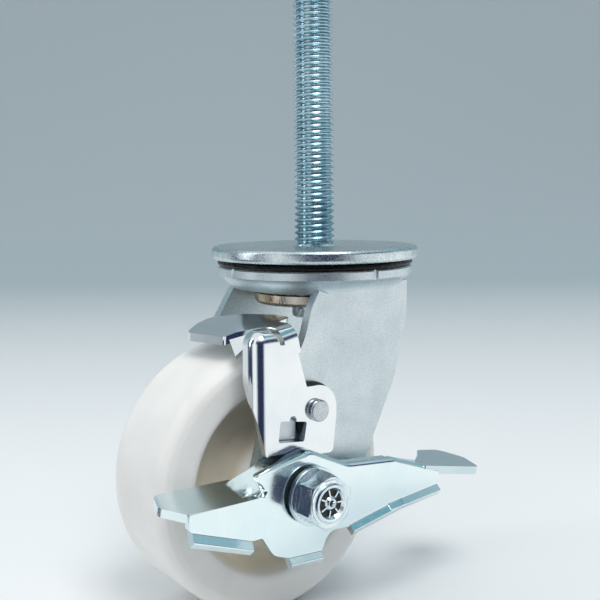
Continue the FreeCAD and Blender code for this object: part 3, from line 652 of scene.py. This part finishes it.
def grease_tree():
    """A ring of grease squeezed out between two plates: a swept bead with a lumpy surface."""
    tree, given, output = new_tree("squeezed_grease", [
        ("Ring Radius", FLOAT, 1.0), ("Bead Radius", FLOAT, 0.1), ("Flatness", FLOAT, 0.6),
        ("Height", FLOAT, 0.0), ("Lumps", FLOAT, 0.1),
    ])
    ring_radius, bead_radius, flatness, height, lumps = given.outputs[:5]
    circle = "GeometryNodeCurvePrimitiveCircle"
    path = node(tree, circle, None, Resolution=GREASE_RING_POINTS, Radius=ring_radius)
    section = node(tree, circle, None, Resolution=GREASE_BEAD_POINTS, Radius=bead_radius)
    bead = node(tree, "GeometryNodeCurveToMesh", None, Curve=path.outputs[0],
                Profile_Curve=section.outputs[0])
    here = node(tree, "GeometryNodeInputPosition").outputs[0]
    apart = node(tree, "ShaderNodeSeparateXYZ", None, Vector=here)
    rough = node(tree, "ShaderNodeTexNoise", None, Vector=here, Scale=GREASE_LUMP_SCALE, Detail=2.0)
    above_mean = maths(tree, "SUBTRACT", rough.outputs[0], 0.5)
    swell = maths(tree, "ADD", 1.0, maths(tree, "MULTIPLY", above_mean, lumps))
    aside = maths(tree, "MULTIPLY", apart.outputs[0], swell)
    away = maths(tree, "MULTIPLY", apart.outputs[1], swell)
    level = maths(tree, "ADD", maths(tree, "MULTIPLY", apart.outputs[2], flatness), height)
    flat = node(tree, "ShaderNodeCombineXYZ", None, X=aside, Y=away, Z=level)
    moved = node(tree, "GeometryNodeSetPosition", None, Geometry=bead.outputs[0], Position=flat.outputs[0])
    end_tree(tree, output, moved.outputs[0])
    return tree


def rib_tree():
    """Low ribs set round a circle, each pointing at its centre, then turned and moved to their place."""
    tree, given, output = new_tree("radial_ribs", [
        ("Ring Radius", FLOAT, 1.0), ("Count", WHOLE, 6), ("Rib Size", TRIPLE, (1.0, 0.2, 0.2)),
        ("Place", TRIPLE, (0.0, 0.0, 0.0)), ("Turn", TRIPLE, (0.0, 0.0, 0.0)),
    ])
    ring_radius, count, rib_size, place, turn = given.outputs[:5]
    spots = node(tree, "GeometryNodeMeshCircle", None, Vertices=count, Radius=ring_radius)
    step = maths(tree, "DIVIDE", 2 * math.pi, count)
    angle = maths(tree, "MULTIPLY", node(tree, "GeometryNodeInputIndex").outputs[0], step)
    facing = node(tree, "ShaderNodeCombineXYZ", None, Z=angle)
    rib = node(tree, "GeometryNodeMeshCube", None, Size=rib_size)
    ribs = node(tree, "GeometryNodeInstanceOnPoints", None, Points=spots.outputs[0], Instance=rib.outputs[0],
                Rotation=facing.outputs[0])
    moved = node(tree, "GeometryNodeTransform", None, Geometry=ribs.outputs[0], Translation=place,
                 Rotation=turn)
    end_tree(tree, output, moved.outputs[0])
    return tree


def make_bolt_end():
    """The bolt's end, peened over the nut: a rolled rim, a dish with painted shade on its floor, a centre
    mark and radial ribs.
    """
    tip = -bolt_low.y
    nut_face = -nut_low.y
    quarter = math.radians(90.0)
    along_axle = Matrix.Translation((AXLE_X, 0.0, AXLE_Z)) @ Matrix.Rotation(quarter, 4, "X")
    seat = tip - DISH_SEAT_DEPTH
    collar = [(0.0, seat), (DISH_SEAT_R, seat), (DISH_SEAT_R, nut_face), (PEENED_R - PEENED_HIGH, nut_face),
              (PEENED_R, nut_face + PEENED_HIGH)]
    bowl = [(radius * MM, tip - depth * MM) for radius, depth in DISH_PROFILE]
    dish = lathe("bolt_end_dish", collar + bowl, LATHE_SEGMENTS, fastener_zinc, along_axle)
    shade_low, shade_high = (tip - depth for depth in DISH_SHADE_DEPTHS)
    # Painted shade: a near-black disc on the dish's floor.
    disc = [(0.0, shade_low), (DISH_SHADE_R, shade_low), (DISH_SHADE_R, shade_high), (0.0, shade_high)]
    dish_shade = lathe("bolt_end_painted_shade", disc, LATHE_SEGMENTS, dark_steel_and_shade, along_axle)
    ribs = run_tree("bolt_end_ribs", rib_tree(), {
        "Ring Radius": BOLT_RIB_RING_R, "Count": BOLT_RIB_COUNT, "Rib Size": BOLT_RIB_SIZE,
        "Place": (AXLE_X, bolt_low.y + BOLT_RIB_DEPTH, AXLE_Z), "Turn": (quarter, 0.0, 0.0),
    }, fastener_zinc)
    for piece in (dish, ribs, dish_shade):
        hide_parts("axle_bolt")
        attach(piece, "fork_body")


def make_release_bend():
    """The bend where the lever's top edge runs on into the release tab."""
    shape = bmesh.new()
    layers = []
    for depth in (0.0, RELEASE_BEND_THICKNESS):
        layer = []
        for aside, across in RELEASE_BEND_PLAN:
            fall = RELEASE_BEND_FALL * (aside - RELEASE_BEND_X)
            rise = RELEASE_BEND_RISE * (across - LEVER_FACE_Y / MM)
            height = AXLE_Z + (RELEASE_BEND_HIGH - fall + rise) * MM - depth
            layer.append(shape.verts.new((AXLE_X + aside * MM, across * MM, height)))
        layers.append(layer)
    top, under = layers
    shape.faces.new(top)
    shape.faces.new(under[::-1])
    for index, vert in enumerate(top):
        after = (index + 1) % len(top)
        shape.faces.new((vert, under[index], under[after], top[after]))
    bmesh.ops.recalc_face_normals(shape, faces=shape.faces[:])
    fold = [edge for edge in shape.edges if set(edge.verts) == {top[0], top[1]}]
    bmesh.ops.bevel(shape, geom=fold, offset=LEVER_RIM_ROLL, offset_type="OFFSET", segments=ROLL_SEGMENTS,
                    profile=0.5, affect="EDGES", clamp_overlap=True)
    mesh = bpy.data.meshes.new("release_bend")
    shape.to_mesh(mesh)
    shape.free()
    bend = link_mesh("release_bend", mesh)
    give_material(bend, lever_zinc)
    smooth_by_angle(mesh)
    keep_flats_flat(bend)
    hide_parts("brake_lever")
    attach(bend, "lever")


def make_stud():
    """The stud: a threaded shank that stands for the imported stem, and its collar, kingpin and head."""
    thread = run_tree("stem_thread", thread_tree(), {
        "Crest Radius": STEM_R, "Root Radius": THREAD_ROOT_R, "Pitch": THREAD_PITCH,
        "Start": THREAD_START, "End": stem_high.z, "Undercut Radius": UNDERCUT_R,
        "Undercut End": COLLAR_HEIGHT + UNDERCUT_LENGTH, "Tip Radius": STEM_TIP_R,
        "Segments": THREAD_SEGMENTS, "Rows": THREAD_ROWS,
    }, stem_zinc, THREAD_SMOOTH_ANGLE)
    head_top = cup_low.z
    head_low = stem_low.z
    head = [(0.0, head_low), (KINGPIN_HEAD_R - HEAD_CHAMFER, head_low),
            (KINGPIN_HEAD_R - HEAD_CORNER_IN, head_low + HEAD_CORNER_UP),
            (KINGPIN_HEAD_R, head_low + HEAD_CHAMFER),
            (KINGPIN_HEAD_R, head_top)]
    pin = [(KINGPIN_R, head_top), (KINGPIN_R, plate_low.z), (SEAT_R, plate_low.z), (SEAT_R, 0.0)]
    collar = [(COLLAR_R, 0.0), (COLLAR_R, COLLAR_CHAMFER_START), (COLLAR_R - COLLAR_CHAMFER, COLLAR_HEIGHT),
              (0.0, COLLAR_HEIGHT)]
    kingpin = lathe("kingpin_and_collar", head + pin + collar, LATHE_SEGMENTS, fastener_zinc)
    for piece in (thread, kingpin):
        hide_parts("threaded_stem")
        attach(piece, "mounting")


def make_grease():
    """The grease that shows in the gap between the plate and the fork's crown, black so that it also paints
    the gap's shade.
    """
    bead = run_tree("race_grease_and_gap_shade", grease_tree(), {
        "Ring Radius": GREASE_RING_R, "Bead Radius": GREASE_BEAD_R, "Flatness": GREASE_FLATNESS,
        "Height": (plate_low.z + fork_high.z) / 2, "Lumps": GREASE_LUMPS,
    }, grease_and_gap_shade, GREASE_SMOOTH_ANGLE)
    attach(bead, "fork_body")


def make_carried_pieces():
    """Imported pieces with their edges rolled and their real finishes."""
    softened("top_plate", "plate_rolled", plate_zinc, "mounting", 0.0)
    softened("lower_race_cup", "race_cup_rolled", cup_zinc, "mounting", 0.15 * MM)
    softened("fork", "fork_pressing", fork_zinc, "fork_body", 0.4 * MM)
    softened("wheel", "wheel_moulding", wheel_nylon, "wheel_body", 0.9 * MM, 4,
             WHEEL_ROLLED_ANGLE, ease_recess_edge)
    softened("brake_arm", "arm_folded_sheet", arm_zinc, "arm", 0.35 * MM, 3)
    softened("brake_lever", "lever_pressing", lever_zinc, "lever", 0.3 * MM,
             reshape=roll_lever_rim)
    softened("axle_nut", "nut_chamfered", fastener_zinc, "fork_body", 0.15 * MM)
    softened("axle_bolt", "bolt_with_head", fastener_zinc, "fork_body", 0.15 * MM,
             reshape=trim_bolt_end)
    softened("flat_washer", "near_washer", fastener_zinc, "fork_body", 0.2 * MM)
    softened("far_washer", "far_washer_rolled", fastener_zinc, "fork_body", 0.2 * MM)
    softened("arm_rivet", "rivet_upset", rivet_steel, "fork_body", 0.3 * MM, 3)
    softened("arm_spacer", "spacer_disc", dark_steel_and_shade, "fork_body", 0.15 * MM)
    # The bush's near-black colour paints the shadow in the gap behind the near washer.
    softened("lever_bush", "bush_turned", dark_steel_and_shade, "fork_body", 0.15 * MM)
    softened("axle_sleeve", "sleeve_tube", turned_steel, "fork_body", 0.0)
    softened("upper_balls", "upper_race_balls", ball_steel, "upper_ball_ring", 0.0)
    softened("lower_balls", "lower_race_balls", ball_steel, "lower_ball_ring", 0.0)


def directions():
    """The camera's right and its way of looking, both level."""
    turn = math.radians(CAMERA_AZIMUTH)
    right = Vector((math.cos(turn), math.sin(turn), 0.0))
    forward = Vector((-math.sin(turn), math.cos(turn), 0.0))
    return right, forward


def make_camera():
    """The photograph's own viewpoint, level, with the frame shifted down to the caster."""
    right, forward = directions()
    data = bpy.data.cameras.new("photo_camera")
    data.sensor_width = SENSOR_MM
    data.lens = FOCAL_PIXELS / IMAGE_PIXELS * SENSOR_MM
    data.shift_y = (HORIZON_PIXEL - IMAGE_PIXELS / 2) / IMAGE_PIXELS
    data.clip_start = 0.01
    data.clip_end = 20.0
    camera = bpy.data.objects.new("photo_camera", data)
    bpy.context.scene.collection.objects.link(camera)
    camera.location = -forward * CAMERA_DISTANCE - right * CAMERA_ASIDE + Vector((0.0, 0.0, CAMERA_HEIGHT))
    facing = forward.to_track_quat("-Z", "Y")
    facing.rotate(Quaternion(forward, math.radians(CAMERA_ROLL)))
    camera.rotation_mode = "QUATERNION"
    camera.rotation_quaternion = facing
    bpy.context.scene.camera = camera


# What the plating mirrors, as turn from the camera's side (positive to its right) and height
# above the horizon in degrees: both ends of each, how softly they fade, and the colour.
ROOM_ZONES = [
    (110.0, 400.0, -4.0, 44.0, 14.0, 9.0, "#809fa6"),
    (-400.0, -112.0, -4.0, 44.0, 14.0, 9.0, "#809fa6"),
    (-90.0, 100.0, 14.0, 38.0, 8.0, 7.0, "#3b4763"),
    (58.0, 110.0, 48.0, 72.0, 12.0, 5.0, "#5c98a8"),
    (104.0, 160.0, 20.0, 48.0, 6.0, 6.0, "#8fb3bf"),
    (-18.0, 36.0, -30.0, 26.0, 8.0, 10.0, "#262e4e"),
    (-105.0, -58.0, -35.0, 40.0, 9.0, 12.0, "#2c3554"),
    (44.0, 128.0, -90.0, 10.0, 6.0, 5.0, "#ffffff"),
    (-50.0, -28.0, -40.0, 60.0, 5.0, 10.0, "#ffffff"),
]


def area_light(name, place, size, size_y, power):
    """A white soft box at the place that faces the caster."""
    data = bpy.data.lights.new(name, "AREA")
    data.shape = "RECTANGLE"
    data.size = size
    data.size_y = size_y
    data.energy = power
    lamp = bpy.data.objects.new(name, data)
    bpy.context.scene.collection.objects.link(lamp)
    lamp.location = place
    lamp.rotation_mode = "QUATERNION"
    lamp.rotation_quaternion = (LIGHT_TARGET - place).to_track_quat("-Z", "Y")


def zone(tree, value, low, high, soft):
    """One between low and high, falling to nothing over soft on both sides."""
    slopes = []
    for middle, before, after in ((low, 0.0, 1.0), (high, 1.0, 0.0)):
        slope = node(tree, "ShaderNodeMapRange", {"interpolation_type": "SMOOTHSTEP"}, Value=value,
                     i1=middle - soft, i2=middle + soft, i3=before, i4=after)
        slopes.append(slope.outputs[0])
    return maths(tree, "MULTIPLY", *slopes)


def paint_room(tree, right, forward):
    """The room that the plating mirrors: white panels, dark openings and a cold far wall.

    To the camera itself the walls look plain.
    """
    tree.nodes.clear()
    here = node(tree, "ShaderNodeTexCoord").outputs["Generated"]
    way = node(tree, "ShaderNodeVectorMath", {"operation": "NORMALIZE"}, i0=here).outputs[0]
    share = {"operation": "DOT_PRODUCT"}
    aside = node(tree, "ShaderNodeVectorMath", share, i0=way, i1=right).outputs[1]
    ahead = node(tree, "ShaderNodeVectorMath", share, i0=way, i1=-forward).outputs[1]
    up = node(tree, "ShaderNodeSeparateXYZ", None, Vector=way).outputs[2]
    turn = maths(tree, "DEGREES", maths(tree, "ARCTAN2", aside, ahead))
    rise = maths(tree, "DEGREES", maths(tree, "ARCSINE", up))
    colour = node(tree, "ShaderNodeRGB").outputs[0]
    colour.default_value = linear(ROOM_WALL)
    for turn_low, turn_high, rise_low, rise_high, turn_soft, rise_soft, code in ROOM_ZONES:
        round_about = zone(tree, turn, turn_low, turn_high, turn_soft)
        up_and_down = zone(tree, rise, rise_low, rise_high, rise_soft)
        mask = maths(tree, "MULTIPLY", round_about, up_and_down)
        mixed = node(tree, "ShaderNodeMix", {"data_type": "RGBA"}, i0=mask, i6=colour, i7=linear(code))
        colour = mixed.outputs[2]
    seen = node(tree, "ShaderNodeLightPath").outputs["Is Camera Ray"]
    plain = node(tree, "ShaderNodeMix", {"data_type": "RGBA"}, i0=seen, i6=colour, i7=linear(ROOM_SEEN))
    light = node(tree, "ShaderNodeBackground", None, Color=plain.outputs[2], Strength=ROOM_STRENGTH)
    node(tree, "ShaderNodeOutputWorld", None, Surface=light.outputs[0])


def make_studio():
    """A pale sweep that the wheel stands on, the room and two soft boxes."""
    right, forward = directions()
    shape = bmesh.new()
    profile = [(SWEEP_START, 0.0), (SWEEP_BEND_START, 0.0)]
    for step in range(1, SWEEP_BEND_STEPS + 1):
        angle = math.radians(90 * step / SWEEP_BEND_STEPS)
        ahead = SWEEP_BEND_START + SWEEP_BEND_R * math.sin(angle)
        profile.append((ahead, SWEEP_BEND_R - SWEEP_BEND_R * math.cos(angle)))
    profile.append((SWEEP_BEND_START + SWEEP_BEND_R, SWEEP_TOP))
    ground = FLOOR_Z - SWEEP_BELOW_WHEEL
    rows = []
    for ahead, up in profile:
        row = []
        half_width = SWEEP_HALF_WIDTH + SWEEP_WIDENING * (ahead - SWEEP_START)
        for aside in (-half_width, half_width):
            spot = forward * ahead + right * aside + Vector((0.0, 0.0, ground + up))
            row.append(shape.verts.new(spot))
        rows.append(row)
    for lower, upper in zip(rows, rows[1:]):
        shape.faces.new((lower[0], lower[1], upper[1], upper[0]))
    mesh = bpy.data.meshes.new("studio_sweep")
    shape.to_mesh(mesh)
    shape.free()
    sweep = link_mesh("studio_sweep", mesh)
    material, tree, shader, place = start_material("pale_matt_paper")
    away = node(tree, "ShaderNodeVectorMath", {"operation": "DOT_PRODUCT"}, i0=place, i1=forward).outputs[1]
    tone = ramp(tree, spread(tree, away, 0.0, 1.0, 0.1, 0.95), [(0.0, SWEEP_FRONT), (1.0, SWEEP_BACK)])
    tree.links.new(tone, shader.inputs["Base Color"])
    shader.inputs["Roughness"].default_value = 0.9
    give_material(sweep, material)
    smooth_by_angle(mesh)

    world = bpy.data.worlds.new("studio_room")
    bpy.context.scene.world = world
    world.use_nodes = True
    paint_room(world.node_tree, right, forward)
    key_place = -forward * 0.5 + right * 0.22 + Vector((0.0, 0.0, 0.95))
    area_light("key_box", key_place, size=0.5, size_y=0.5, power=5.0)
    strip_place = -right * 0.8 - forward * 0.15 + Vector((0.0, 0.0, 0.25))
    area_light("left_strip", strip_place, size=0.15, size_y=0.8, power=1.6)


make_stud()
make_bolt_end()
make_release_bend()
make_grease()
make_carried_pieces()
make_camera()
make_studio()
bpy.context.scene.view_settings.view_transform = "Standard"
